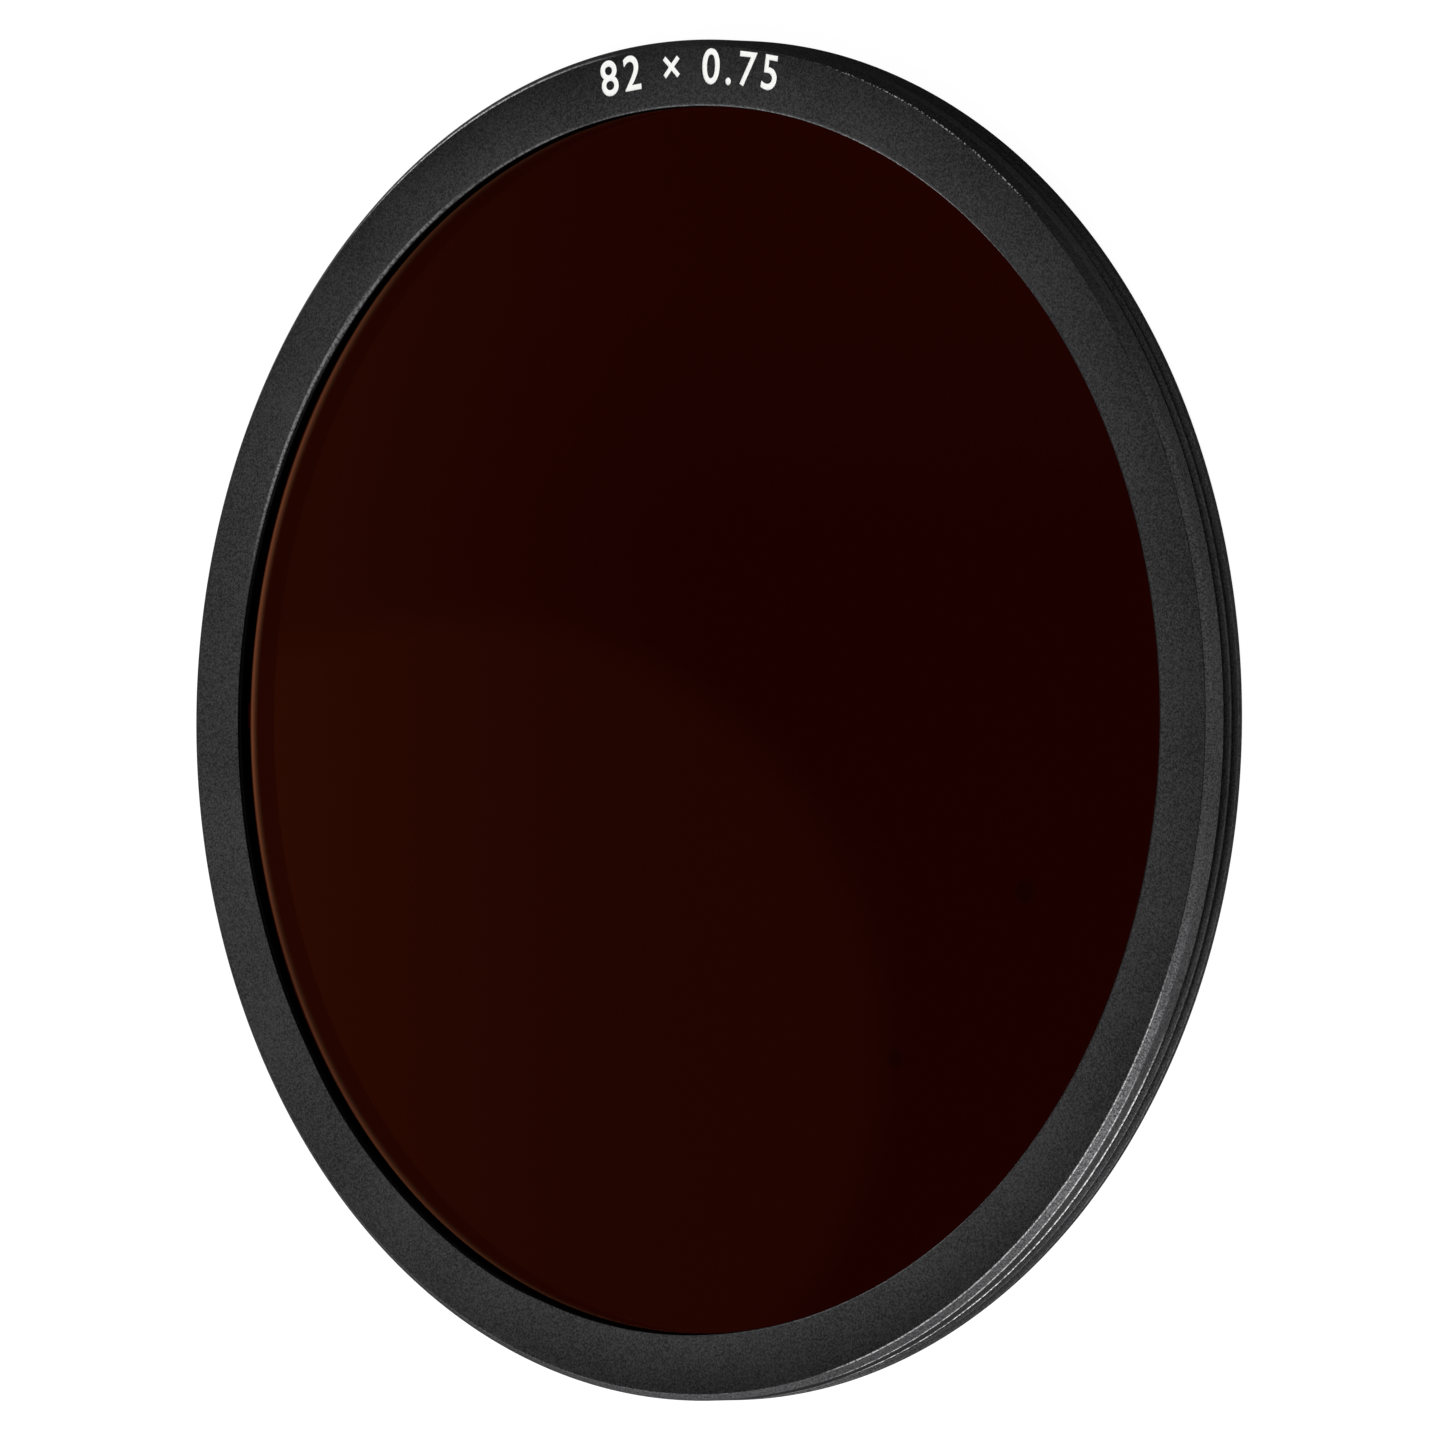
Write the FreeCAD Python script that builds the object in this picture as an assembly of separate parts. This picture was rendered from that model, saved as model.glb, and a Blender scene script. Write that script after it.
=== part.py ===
import FreeCAD, Part
import os

# A round screw-in neutral density filter: one turned ring, a dark glass disc and a threaded retaining ring.
# Millimetres. The filter lies on its rear edge, +Z runs along its axis towards the front face,
# and the origin is on the axis in the plane of the rear edge.

# Driving dimensions of the turned ring
thread_diameter = 82.0      # over the crests of the outside thread, and of the plain land in front of it
front_bevel = 0.4           # 45 degree bevel round the front face
rear_lead_in = 0.3          # 45 degree lead-in at the start of the outside thread
rear_wall = 1.6             # from the thread crests in to the retaining ring's bore
seat_step = 0.55            # step from the retaining ring's bore in to the glass seat
lip_depth = 0.78            # depth of the lip that the glass seats against, from the front face
lip_overlap = 1.8           # how far the lip covers the rim of the glass
lip_bevel = 0.2             # bevel on the lip's front edge
edge_break = 0.08           # small bevel on the other turned edges

# Driving dimensions of the glass disc
glass_thickness = 1.5
glass_bevel = 0.2           # ground bevel on both rims
glass_clearance = 0.1       # round the glass in its seat

# Driving dimensions of the retaining ring
retainer_thickness = 0.8
retainer_clearance = 0.05   # round the ring in its bore
retainer_setback = 1.3      # how far its opening stands back behind the lip's
retainer_recess = 0.12      # from the rear edge in to its rear face
retainer_reach = 0.2        # how far its bore runs past the rear face of the glass
slot_width = 1.6            # slots for a pin spanner, across the rear face
slot_floor = 0.35           # thickness left under each slot

# Radii, worked inwards from the thread
thread_radius = thread_diameter / 2
bore_radius = thread_radius - rear_wall
seat_radius = bore_radius - seat_step
glass_radius = seat_radius - glass_clearance
lip_radius = glass_radius - lip_overlap
retainer_radius = bore_radius - retainer_clearance
retainer_opening = lip_radius + retainer_setback

# Heights, worked up from the rear edge
retainer_rear = retainer_recess
glass_rear = retainer_rear + retainer_thickness
glass_front = glass_rear + glass_thickness
front_face = glass_front + lip_depth
bore_end = glass_rear + retainer_reach

AXIS_POINT = FreeCAD.Vector(0, 0, 0)
AXIS = FreeCAD.Vector(0, 0, 1)


def turned(outline):
    """Solid turned about the filter's axis from a closed outline of (radius, height) points."""
    points = [FreeCAD.Vector(radius, 0, height) for radius, height in outline]
    section = Part.Face(Part.makePolygon(points + points[:1]))
    return section.revolve(AXIS_POINT, AXIS, 360)


def filter_ring():
    """One turning: the front face with its lip, the thread's crest cylinder, the glass seat and the rear bore."""
    return turned([
        (lip_radius, glass_front),
        (lip_radius, front_face - lip_bevel),
        (lip_radius + lip_bevel, front_face),
        (thread_radius - front_bevel, front_face),
        (thread_radius, front_face - front_bevel),
        (thread_radius, rear_lead_in),
        (thread_radius - rear_lead_in, 0),
        (bore_radius + edge_break, 0),
        (bore_radius, edge_break),
        (bore_radius, bore_end),
        (seat_radius, bore_end),
        (seat_radius, glass_front),
    ])


def filter_glass():
    """Flat disc with a ground bevel on each rim, held between the lip and the retaining ring."""
    return turned([
        (0, glass_rear),
        (glass_radius - glass_bevel, glass_rear),
        (glass_radius, glass_rear + glass_bevel),
        (glass_radius, glass_front - glass_bevel),
        (glass_radius - glass_bevel, glass_front),
        (0, glass_front),
    ])


def spanner_slots():
    """One bar across the retaining ring's whole diameter: where it crosses the ring it leaves two slots."""
    length = 2 * bore_radius
    depth = retainer_thickness - slot_floor
    corner = FreeCAD.Vector(-length / 2, -slot_width / 2, retainer_rear)
    return Part.makeBox(length, slot_width, depth, corner)


def retaining_ring():
    """Flat ring screwed in behind the glass, with two opposite slots for a pin spanner in its rear face."""
    ring = turned([
        (retainer_opening, glass_rear),
        (retainer_opening, retainer_rear + edge_break),
        (retainer_opening + edge_break, retainer_rear),
        (retainer_radius - edge_break, retainer_rear),
        (retainer_radius, retainer_rear + edge_break),
        (retainer_radius, glass_rear),
    ])
    return ring.cut(spanner_slots())


pieces = {
    "filter_ring": filter_ring(),
    "filter_glass": filter_glass(),
    "retaining_ring": retaining_ring(),
}

os.makedirs("parts", exist_ok=True)
for node, shape in pieces.items():
    shape.exportStep("parts/" + node + ".step")
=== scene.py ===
import math

import bmesh
import bpy
from bpy.props import FloatProperty, FloatVectorProperty, IntProperty, PointerProperty, StringProperty
from bpy.types import Operator, Panel, PropertyGroup
from mathutils import Matrix, Vector


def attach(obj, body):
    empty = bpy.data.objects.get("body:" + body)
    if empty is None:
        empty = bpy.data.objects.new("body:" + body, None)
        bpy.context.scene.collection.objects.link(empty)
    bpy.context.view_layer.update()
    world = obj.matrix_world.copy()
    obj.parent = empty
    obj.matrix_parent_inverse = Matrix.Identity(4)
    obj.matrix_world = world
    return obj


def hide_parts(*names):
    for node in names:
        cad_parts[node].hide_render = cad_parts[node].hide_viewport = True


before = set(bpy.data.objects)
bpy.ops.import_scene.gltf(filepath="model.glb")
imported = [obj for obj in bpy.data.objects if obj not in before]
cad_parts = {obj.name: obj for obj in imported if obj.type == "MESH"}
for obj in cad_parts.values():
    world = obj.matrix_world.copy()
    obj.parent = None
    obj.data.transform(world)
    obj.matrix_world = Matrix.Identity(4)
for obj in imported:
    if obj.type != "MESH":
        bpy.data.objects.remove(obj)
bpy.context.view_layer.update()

bl_info = {
    "name": "Neutral density filter",
    "version": (1, 0, 0),
    "blender": (4, 5, 0),
    "location": "3D View > Sidebar > Filter",
    "description": "Dresses a screw-in neutral density filter: thread, engraved numbers, finishes and studio",
    "category": "Object",
}

MM = 0.001
BODY = "root"

# Points nearer than this are one point, and edges sharper than this stay sharp in the light
SEAM = 0.0005 * MM
SHARP_ANGLE = math.radians(40)


def reach(node_name):
    """Smallest and largest radius, lowest and highest point of a node that is turned about the axis."""
    points = [vertex.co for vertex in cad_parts[node_name].data.vertices]
    radii = [math.hypot(point.x, point.y) for point in points]
    heights = [point.z for point in points]
    return min(radii), max(radii), min(heights), max(heights)


LIP_RADIUS, THREAD_RADIUS, REAR_EDGE, FRONT_FACE = reach("filter_ring")
_, GLASS_RADIUS, GLASS_REAR, GLASS_FRONT = reach("filter_glass")
_, RETAINER_RADIUS, _, _ = reach("retaining_ring")


def linear(hex_colour):
    """Linear red, green and blue of an sRGB hex colour."""
    channels = [int(hex_colour[i:i + 2], 16) / 255 for i in (1, 3, 5)]
    return tuple(c / 12.92 if c <= 0.04045 else ((c + 0.055) / 1.055) ** 2.4 for c in channels)


def length(name, millimetres, description):
    """A length property whose default is given in millimetres."""
    return FloatProperty(name=name, description=description, default=millimetres * MM, min=0.0,
                         precision=5, unit="LENGTH")


def colour(name, hex_colour, description):
    """A colour property whose default is given as an sRGB hex value."""
    return FloatVectorProperty(name=name, description=description, default=linear(hex_colour),
                               min=0.0, max=1.0, size=3, subtype="COLOR")


def angle(name, degrees, description):
    """An angle property whose default is given in degrees."""
    return FloatProperty(name=name, description=description, default=math.radians(degrees), subtype="ANGLE")


class FILTER_PG_ring(PropertyGroup):
    """Sizes of the turned ring that the frame doesn't give."""

    front_bevel: length("Front bevel", 0.4, "45 degree bevel round the front face")
    rear_lead_in: length("Rear lead-in", 0.3, "45 degree lead-in at the start of the thread")
    lip_edge: length("Lip edge", 0.25, "Rounding of the front face's inner edge")
    bevel_edge: length("Bevel edge", 0.12, "Rounding of the front bevel's two edges")
    cut_edge: length("Cut edge", 0.06, "Rounding of the edges behind the face")
    bore_clearance: length("Bore clearance", 0.05, "Between the retaining ring and its bore")
    seat_clearance: length("Seat clearance", 0.1, "Between the glass and its seat")
    bore_reach: length("Bore reach", 0.2, "How far the retaining ring's bore runs past the rear of the glass")
    pitch: length("Pitch", 0.75, "How far the outside thread climbs in one turn")
    thread_depth: length("Thread depth", 0.46, "From the crests in to the roots")
    crest_width: length("Crest width", 0.094, "Flat on top of each turn of the thread")
    thread_rounding: length("Thread rounding", 0.06, "How much of the depth the thread's rounded corners take")
    land_width: length("Land width", 1.2, "From the front face down to the first groove, on the +X side")
    thread_start: length("Thread start", 0.45, "Height of the groove's middle where the thread starts")
    thread_full: length("Thread full", 0.6, "Height of the groove's middle where the thread has its full depth")
    flank_angle: angle("Flank angle", 30.0, "Between a flank and the plane across the axis")
    run_out: FloatProperty(name="Run-out", default=0.09, min=0.01, max=0.5,
                           description="Share of a turn over which the last groove rises out of the metal")
    segments: IntProperty(name="Segments", default=480, min=24, description="Faces in one turn of the ring")


class FILTER_PG_numbers(PropertyGroup):
    """Engraved numbers on the front face."""

    text: StringProperty(name="Numbers", default="82 × 0.75",
                         description="Thread diameter and pitch in millimetres")
    height: length("Height", 2.05, "Height of the digits before they are made bold")
    bold: length("Bold", 0.05, "How far each stroke is widened to either side")
    speck: length("Speck", 0.027, "Widest speck that is closed where a widened outline crosses itself")
    spacing: FloatProperty(name="Spacing", default=1.25, min=0.5,
                           description="Of the digits, where 1 is the font's own")
    middle_radius: length("Middle radius", 39.25, "From the axis to the middle of the digits")
    middle_angle: angle("Middle angle", 91.0, "Of the middle of the line, from +X towards +Y")
    depth: length("Depth", 0.12, "Depth of the engraving")
    fill_drop: length("Fill drop", 0.02, "How far the paint stays below the face")


class FILTER_PG_finish(PropertyGroup):
    """Colours and surface grain of the finishes."""

    anodised: colour("Black anodising", "#262627", "Dyed oxide layer in the dents of the blasting")
    anodised_top: colour("Light anodising", "#424243", "Dyed oxide layer on top of the blasting grain")
    anodised_grazing: colour("Grazing anodising", "#b4b4b4", "Share of a grazing reflection that the layer keeps")
    # Pale rubbed oxide, which also paints the edges' highlights
    anodised_worn_glint: colour("Worn anodising", "#e1e1e0", "Oxide layer that handling has thinned on the edges")
    paint: colour("Paint", "#f8f8f5", "White paint in the engraved numbers")
    layer: colour("Dark layer", "#1d0201", "Light that the glass's dark layer lets through")
    margin: colour("Layer margin", "#6d3b26", "Light that the margin of the dark layer lets through")
    sheen: colour("Coating sheen", "#ff5c00", "Tint of what the coated glass still reflects")
    bead_mark: length("Bead mark", 0.12, "Width of the dents that bead-blasting leaves")
    tool_mark: length("Tool mark", 0.12, "Spacing of the turning marks on the retaining ring")
    edge_wear_and_glint: length("Edge wear", 0.06, "How far wear reaches from an edge")
    rub_mark: length("Rub mark", 0.2, "Length of the rubbed spots along an edge")


class FILTER_PG_studio(PropertyGroup):
    """Camera and light."""

    view_tilt: angle("View tilt", 41.52, "Between the line of sight and the filter's axis, towards +X")
    view_roll: angle("View roll", -0.592, "Turn of the camera about the line of sight")
    distance: length("Distance", 1366.7, "From the camera to the middle of the front face")
    side_step: length("Side step", 1.748, "How far the camera stands to the right of the middle")
    focal_length: FloatProperty(name="Focal length", default=567.33, min=1.0, unit="CAMERA",
                                description="Of the lens, on a 36 mm wide sensor")
    surroundings: FloatProperty(name="Surroundings", default=0.14, min=0.0,
                                description="Brightness of the room beyond the lamps, where 1 is white")
    ceiling: FloatProperty(name="Ceiling", default=0.03, min=0.0, description="Brightness overhead, where 1 is white")


GROUPS = (FILTER_PG_ring, FILTER_PG_numbers, FILTER_PG_finish, FILTER_PG_studio)


def node(tree, kind, inputs=None, **settings):
    """Adds a node. Inputs are values, nodes (their first output is linked) or sockets, by socket name or place."""
    new = tree.nodes.new(kind)
    for name, value in settings.items():
        setattr(new, name, value)
    for place, value in (inputs or {}).items():
        source = value.outputs[0] if isinstance(value, bpy.types.Node) else value
        if isinstance(source, bpy.types.NodeSocket):
            tree.links.new(source, new.inputs[place])
        else:
            new.inputs[place].default_value = source
    return new


def calc(tree, operation, *values, **settings):
    """Adds a Math node for one to three values, nodes or sockets."""
    return node(tree, "ShaderNodeMath", dict(enumerate(values)), operation=operation, **settings)


def ramp(tree, value, low, high, start=0.0, end=1.0, smooth=False):
    """Adds a Map Range node: start where the value is at low, end where it is at high, and held beyond both."""
    return node(tree, "ShaderNodeMapRange",
                {"Value": value, "From Min": low, "From Max": high, "To Min": start, "To Max": end},
                interpolation_type="SMOOTHSTEP" if smooth else "LINEAR")


def blend(tree, share, first, second):
    """Adds a Mix node for two numbers."""
    return node(tree, "ShaderNodeMix", {"Factor": share, "A": first, "B": second}, data_type="FLOAT")


def blend_colours(tree, share, first, second):
    """Adds a Mix node for two colours and gives its colour. Constant colours are red, green and blue."""
    first, second = ((*c, 1) if isinstance(c, tuple) else c for c in (first, second))
    return node(tree, "ShaderNodeMix", {"Factor": share, 6: first, 7: second}, data_type="RGBA").outputs[2]


def noise(tree, place, scale, detail):
    """Adds a Noise Texture node."""
    return node(tree, "ShaderNodeTexNoise", {"Vector": place, "Scale": scale, "Detail": detail})


def split(tree, place):
    """X, Y and Z sockets of a place."""
    return node(tree, "ShaderNodeSeparateXYZ", {0: place}).outputs


def distance(tree, place, target):
    """Distance of a place from a target."""
    return node(tree, "ShaderNodeVectorMath", {0: place, 1: target}, operation="DISTANCE").outputs["Value"]


def along(tree, place, degrees):
    """How far a place lies from the axis in the direction of an azimuth."""
    heading = (math.cos(math.radians(degrees)), math.sin(math.radians(degrees)), 0)
    return node(tree, "ShaderNodeVectorMath", {0: place, 1: heading}, operation="DOT_PRODUCT").outputs["Value"]


def round_axis(tree, radius, turn, height):
    """Place at a radius, an angle about the axis and a height."""
    across = calc(tree, "MULTIPLY", radius, calc(tree, "COSINE", turn))
    up = calc(tree, "MULTIPLY", radius, calc(tree, "SINE", turn))
    return node(tree, "ShaderNodeCombineXYZ", {"X": across, "Y": up, "Z": height})


def geometry_tree(name, numbers, **others):
    """Empty geometry tree with its named inputs, as its nodes for what is given and what is made."""
    tree = bpy.data.node_groups.new(name, "GeometryNodeTree")
    inputs = {"Geometry": "Geometry", **dict.fromkeys(numbers, "Float"), **others, "Material": "Material"}
    for label, kind in inputs.items():
        tree.interface.new_socket(label, in_out="INPUT", socket_type="NodeSocket" + kind)
    tree.interface.new_socket("Geometry", in_out="OUTPUT", socket_type="NodeSocketGeometry")
    return tree, node(tree, "NodeGroupInput"), node(tree, "NodeGroupOutput")


def evaluated_mesh(carrier):
    """Plain mesh of an object as its modifiers leave it. The object goes."""
    bpy.context.view_layer.update()
    graph = bpy.context.evaluated_depsgraph_get()
    mesh = bpy.data.meshes.new_from_object(carrier.evaluated_get(graph), depsgraph=graph)
    bpy.data.objects.remove(carrier)
    return mesh


def linked_object(name, data):
    """New object at the origin, in the scene."""
    made = bpy.data.objects.new(name, data)
    bpy.context.scene.collection.objects.link(made)
    return made


def made_by(tree, values, base=None):
    """Plain mesh that a geometry tree makes from a base mesh with the given inputs."""
    carrier = linked_object("carrier", base or bpy.data.meshes.new("carrier"))
    modifier = carrier.modifiers.new(tree.name, "NODES")
    modifier.node_group = tree
    for item in tree.interface.items_tree:
        if item.in_out == "INPUT" and item.name in values:
            modifier[item.identifier] = values[item.name]
    return evaluated_mesh(carrier)


def turn_outwards(mesh):
    """Recalculates the normals of a closed mesh and keeps only its square edges sharp."""
    shell = bmesh.new()
    shell.from_mesh(mesh)
    bmesh.ops.recalc_face_normals(shell, faces=shell.faces)
    shell.to_mesh(mesh)
    shell.free()
    mesh.shade_smooth()
    mesh.set_sharp_from_angle(angle=SHARP_ANGLE)


def surface(name):
    """New material with its tree, its Principled shader and its Object coordinates."""
    material = bpy.data.materials.new(name)
    material.use_nodes = True
    tree = material.node_tree
    shader = tree.nodes["Principled BSDF"]
    place = node(tree, "ShaderNodeTexCoord").outputs["Object"]
    return material, tree, shader, place


def emptied(owner):
    """Node tree of a material or a world, without its first nodes."""
    owner.use_nodes = True
    owner.node_tree.nodes.clear()
    return owner.node_tree


def turned_place(tree, place):
    """Distance from the axis and height of a surface point."""
    flat = node(tree, "ShaderNodeVectorMath", {0: place, 1: (1, 1, 0)}, operation="MULTIPLY")
    radius = node(tree, "ShaderNodeVectorMath", {0: flat}, operation="LENGTH").outputs["Value"]
    return radius, split(tree, place)["Z"]


# How rubbing breaks a worn edge and the highlight painted along it: size of the spots as a share of the usual one,
# noise level where the wear is least and where it is full, and how much the least is
RUBBING = {"rubbed": (1.0, 0.4, 0.55, 0.3), "dotted": (0.8, 0.51, 0.6, 0.0)}

# Worn stretches of the ring's front edges, whose pale rubbed oxide paints the edges' highlights: which edge, how it is
# broken, how many times the usual reach the wear goes, azimuth of the stretch's middle, its full and its whole reach
# to either side in degrees, and its strength
GLINTING_WORN_STRETCHES = (
    ("lip rim", "rubbed", 1.5, 58.0, 5.0, 20.0, 0.36),
    ("lip slope", "rubbed", 1.6, 117.0, 5.0, 14.0, 0.11),
    ("lip crest", "rubbed", 2.2, 133.0, 6.0, 16.0, 0.21),
    ("lip", "rubbed", 2.8, 150.0, 5.0, 19.0, 0.22),
    ("face", "rubbed", 1.0, -47.0, 21.0, 29.0, 0.5),
    ("face", "dotted", 1.0, 62.0, 8.0, 16.0, 0.6),
    ("shoulder", "rubbed", 2.0, 117.0, 6.0, 20.0, 0.5),
    ("bevel", "rubbed", 1.0, -53.0, 16.0, 25.0, 0.55),
    ("land", "rubbed", 3.4, -51.0, 17.0, 26.0, 1.0),
)


def edge_wear_and_glint(tree, place, radius, height, finish, sizes):
    """Mask of the ring's worn edges, which paint its highlights: those of the lip, of the bevel and of the land in
    front of the thread.
    """
    spot = split(tree, place)
    azimuth = calc(tree, "ARCTAN2", spot["Y"], spot["X"])
    unwound = calc(tree, "MULTIPLY_ADD", azimuth, -sizes.pitch / (2 * math.pi), height)
    turned = node(tree, "ShaderNodeCombineXYZ", {"X": radius, "Y": height})
    threaded = node(tree, "ShaderNodeCombineXYZ", {"X": radius, "Y": unwound})
    lip, bevel = sizes.lip_edge, sizes.front_bevel
    # The section that an edge lies in, its radius and its depth below the face. The lip's wear and painted highlight
    # climb from its rounding onto the face towards -X, and the shoulder's lie on the bevel just below the face
    edges = {
        "lip rim": (turned, LIP_RADIUS + 0.15 * lip, 0.38 * lip),
        "lip slope": (turned, LIP_RADIUS + 0.48 * lip, 0.09 * lip),
        "lip crest": (turned, LIP_RADIUS + 0.7 * lip, 0.03 * lip),
        "lip": (turned, LIP_RADIUS + 1.12 * lip, 0.0),
        "face": (turned, THREAD_RADIUS - bevel, 0.0),
        "shoulder": (turned, THREAD_RADIUS - 0.82 * bevel, 0.18 * bevel),
        "bevel": (turned, THREAD_RADIUS, bevel),
        "land": (threaded, THREAD_RADIUS, sizes.land_width),
    }
    broken = {}
    for look, (share, low, high, least) in RUBBING.items():
        broken[look] = ramp(tree, noise(tree, place, 1 / (share * finish.rub_mark), 1.0), low, high, least)
    wear_and_glint = 0.0
    # Each stretch paints a highlight along its edge as pale rubbed oxide
    for edge, look, times, middle, full, whole, strength in GLINTING_WORN_STRETCHES:
        section, edge_radius, depth = edges[edge]
        away = distance(tree, section, (edge_radius, FRONT_FACE - depth, 0))
        near = ramp(tree, away, finish.edge_wear_and_glint * times, finish.edge_wear_and_glint * times / 3)
        off = calc(tree, "ABSOLUTE", calc(tree, "SUBTRACT", azimuth, math.radians(middle)))
        held = ramp(tree, off, math.radians(whole), math.radians(full), 0.0, strength, smooth=True)
        for share in (held, broken[look]):
            near = calc(tree, "MULTIPLY", near, share)
        wear_and_glint = calc(tree, "MAXIMUM", wear_and_glint, near)
    return wear_and_glint


# Painted shade on the face's rim: radii in metres where it begins and is full. Along an azimuth it comes and then
# goes, each between two places in metres, with what it adds to the light at both, and what share of that stays at both
RIM = (0.0372, 0.0406)
RIM_AZIMUTH = 15
RIM_COMES = (-0.042, -0.012, 0.0, -0.54)
RIM_GOES = (0.005, 0.038, 1.0, 0.47)

# How far below the face, in millimetres, a point still counts as on it
FACE_SLACK = 0.02

# How much painted shade darkens the thread's roots and how much painted light brightens the plain land. The land ends
# at this many land widths below the face, and its light begins and is full at these depths, in millimetres, below the
# crests
ROOT_SHADE = -0.1
LAND_LIGHT = 0.6
LAND_ENDS = 1.3
LAND_DEPTHS = (0.04, 0.01)

# Blackened wall of the lip: what it leaves of the light, and how far from the wall, in millimetres, the black fades
LIP_BLACK = 0.06
LIP_FADES = (0.02, 0.08)

# Where that black reaches onto the face's inner edge as painted shade: azimuth, how far out in that direction it
# begins and is full, and how far it reaches, in millimetres
PAINTED_SHADE_SPREAD = ((215, 14.0, 30.0, 0.16), (165, 12.0, 36.0, 0.1), (233, 33.5, 36.6, 0.28))


def painted_shade_and_lip_black(tree, place, radius, height, recess, sizes):
    """Share of light left by painted shade and the blackened lip wall: less at the face's rim, in the thread and on
    the lip wall.

    The painted rim shade is darkest on two sides of the face and fades between them. The lip wall's black reaches onto
    the face's inner edge on the -X side as painted shade. The plain land in front of the thread is lighter with
    painted light.
    """
    # Painted shade darkens the face towards its rim
    sideways = along(tree, place, RIM_AZIMUTH)
    rim = calc(tree, "MULTIPLY", ramp(tree, radius, *RIM), ramp(tree, sideways, *RIM_COMES))
    rim = calc(tree, "MULTIPLY", rim, calc(tree, "GREATER_THAN", height, FRONT_FACE - FACE_SLACK * MM))
    rim = calc(tree, "MULTIPLY_ADD", rim, ramp(tree, sideways, *RIM_GOES), 1.0)
    # Painted shade darkens the thread's roots
    thread = calc(tree, "MULTIPLY_ADD", recess, ROOT_SHADE, 1.0)
    # Painted light brightens the plain land near its crest
    on_land = calc(tree, "GREATER_THAN", height, FRONT_FACE - LAND_ENDS * sizes.land_width)
    deepest, shallowest = (THREAD_RADIUS - depth * MM for depth in LAND_DEPTHS)
    land = calc(tree, "MULTIPLY_ADD", ramp(tree, radius, deepest, shallowest, 0.0, LAND_LIGHT), on_land, 1.0)
    thread = calc(tree, "MULTIPLY", thread, land)
    # Painted shade: the lip wall's black spreads onto the face's inner edge on the -X side
    shade_spread = 0.0
    for azimuth, begins, full, most in PAINTED_SHADE_SPREAD:
        reached = ramp(tree, along(tree, place, azimuth), begins * MM, full * MM, 0.0, most * MM, smooth=True)
        shade_spread = calc(tree, "MAXIMUM", shade_spread, reached)
    inward = calc(tree, "SUBTRACT", radius, shade_spread)
    lip = ramp(tree, inward, *(LIP_RADIUS + away * MM for away in LIP_FADES), LIP_BLACK, smooth=True)
    return calc(tree, "MULTIPLY", calc(tree, "MULTIPLY", rim, thread), lip)


def finished(tree, shader, tint, gloss, bump_height, strength, depth):
    """Links a tint, a roughness and a bump, with its strength and its depth in millimetres, to a shader."""
    bump = node(tree, "ShaderNodeBump", {"Height": bump_height, "Strength": strength, "Distance": depth * MM})
    tree.links.new(tint, shader.inputs["Base Color"])
    tree.links.new(gloss.outputs[0], shader.inputs["Roughness"])
    tree.links.new(bump.outputs[0], shader.inputs["Normal"])


# Patches in the blasting: how many a millimetre, and their share of the grain. Noise levels of dents and tops
PATCH_SCALE = 0.12
PATCH_SHARE = 0.2
GRAIN_LEVELS = (0.34, 0.66)

# The cut thread counts as recessed from this many bevels below the face, and fully at this share of its depth
THREAD_BEVELS = 2
RECESS_SHARE = 0.6

# Roughness of the anodised surfaces: blasted dents and tops, the cut thread, turned valleys and ridges
BLASTED_ROUGHNESS = (0.46, 0.36)
CUT_ROUGHNESS = 0.28
TURNED_ROUGHNESS = (0.3, 0.4)


def blasted_black_anodised(finish, sizes):
    """Aluminium, bead-blasted and dyed black in the anodising bath, with the thread cut afterwards.

    The dents of the blasting break a soft, wide reflection into fine grain. The cut thread is smoother, with painted
    shade in its roots. Along the edges the oxide is thin and rubbed bright, and its pale colour paints fine highlight
    lines.
    """
    material, tree, shader, place = surface("blasted_black_anodised_aluminium")
    radius, height = turned_place(tree, place)
    on_thread = calc(tree, "LESS_THAN", height, FRONT_FACE - THREAD_BEVELS * sizes.front_bevel)
    recess = ramp(tree, radius, THREAD_RADIUS, THREAD_RADIUS - RECESS_SHARE * sizes.thread_depth)
    recess = calc(tree, "MULTIPLY", recess, on_thread)
    wear_and_glint = edge_wear_and_glint(tree, place, radius, height, finish, sizes)
    dents = noise(tree, place, 1 / finish.bead_mark, 1.0)
    patches = noise(tree, place, PATCH_SCALE / MM, 3.0)
    grain = ramp(tree, blend(tree, PATCH_SHARE, dents, patches), *GRAIN_LEVELS)
    dye = blend_colours(tree, grain, tuple(finish.anodised), tuple(finish.anodised_top))
    # Painted shade on the face's rim and in the thread's roots, painted light on the land, and the lip wall's black
    depth = painted_shade_and_lip_black(tree, place, radius, height, recess, sizes)
    dye = node(tree, "ShaderNodeVectorMath", {0: dye, "Scale": depth}, operation="SCALE")
    # Pale rubbed oxide on the worn stretches paints the edges' highlights
    tint = blend_colours(tree, wear_and_glint, dye, tuple(finish.anodised_worn_glint))
    blasted = ramp(tree, grain, 0.0, 1.0, *BLASTED_ROUGHNESS)
    gloss = blend(tree, calc(tree, "MAXIMUM", wear_and_glint, recess), blasted, CUT_ROUGHNESS)
    finished(tree, shader, tint, gloss, dents, 0.35, 0.02)
    # Rubbed oxide is pale and matt, and its pale colour paints the edges' highlights
    tree.links.new(calc(tree, "SUBTRACT", 1.0, wear_and_glint).outputs[0], shader.inputs["Metallic"])
    shader.inputs["Specular Tint"].default_value = (*finish.anodised_grazing, 1)
    return material


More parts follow.
